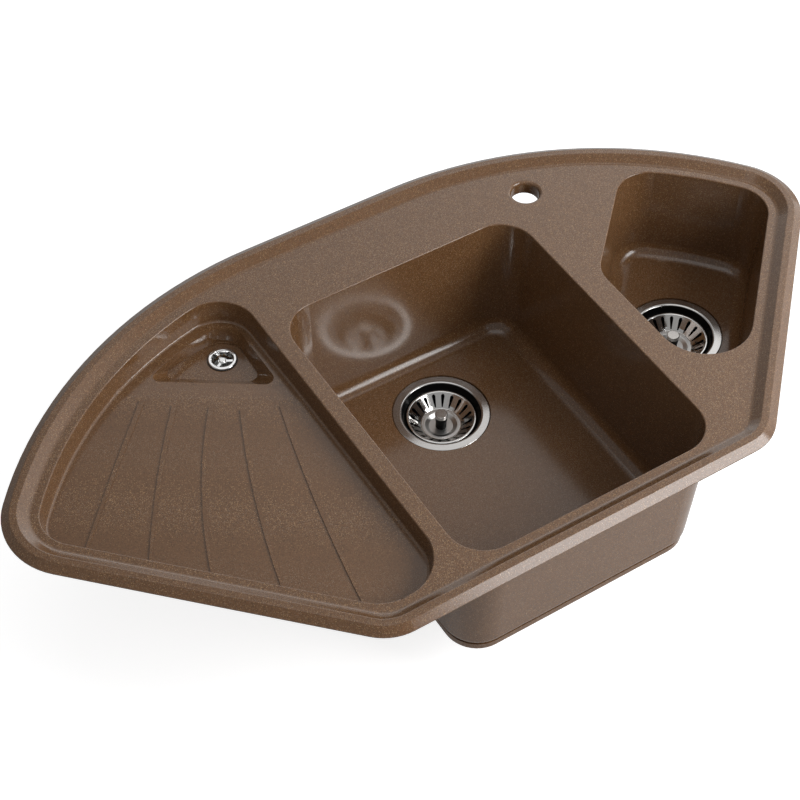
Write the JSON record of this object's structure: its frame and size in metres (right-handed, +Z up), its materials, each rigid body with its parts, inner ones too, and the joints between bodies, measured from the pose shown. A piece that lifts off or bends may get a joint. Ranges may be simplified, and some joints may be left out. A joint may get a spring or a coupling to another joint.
{
  "type": "corner kitchen sink",
  "caption": "Corner kitchen sink in speckled stone composite with a sunken ribbed drainer, a main bowl, a half bowl, a tap hole and lift-out basket strainers.",
  "frame": {"origin": "on the underside of the rim where it lies on the worktop, in the middle of the front strip, 10 mm behind the front edge", "axes": "+X to the right along the sink's length, +Y from the front edge to the back arc that lies in the room's corner, +Z up out of the worktop"},
  "size_m": [1.04, 0.562, 0.265],
  "materials": {
    "stone_composite": "satin",
    "pressed_steel": "satin",
    "polished_chrome": "polished",
    "steel_screw": "satin",
    "grey_rubber": "matte",
    "black_rubber": "matte",
    "white_plastic": "satin",
    "brass": "satin"
  },
  "bodies": {
    "sink": {"sink_basin": "stone_composite", "main_flange": "pressed_steel", "main_flange_gasket": "grey_rubber", "main_clamp_screw": "steel_screw", "main_body_gasket": "grey_rubber", "main_waste_body": "white_plastic", "main_insert": "brass", "small_flange": "pressed_steel", "small_flange_gasket": "grey_rubber", "small_clamp_screw": "steel_screw", "small_body_gasket": "grey_rubber", "small_waste_body": "white_plastic", "small_insert": "brass", "drainer_grid": "polished_chrome", "drainer_screw": "steel_screw", "drainer_gasket": "black_rubber", "drainer_elbow": "white_plastic", "drainer_elbow_gasket": "grey_rubber", "drainer_insert": "brass"},
    "main_basket_body": {"main_basket": "pressed_steel", "main_basket_seal": "black_rubber", "main_knob": "polished_chrome", "main_stem": "steel_screw", "main_stem_ring": "black_rubber"},
    "small_basket_body": {"small_basket": "pressed_steel", "small_basket_seal": "black_rubber", "small_knob": "polished_chrome", "small_stem": "steel_screw", "small_stem_ring": "black_rubber"}
  },
  "joints": [
    {"name": "main_basket_lift", "type": "slide", "parent": "sink", "child": "main_basket_body", "axis": [0, 0, 1], "range_m": [0, 0.25]},
    {"name": "small_basket_lift", "type": "slide", "parent": "sink", "child": "small_basket_body", "axis": [0, 0, 1], "range_m": [0, 0.21]}
  ]
}
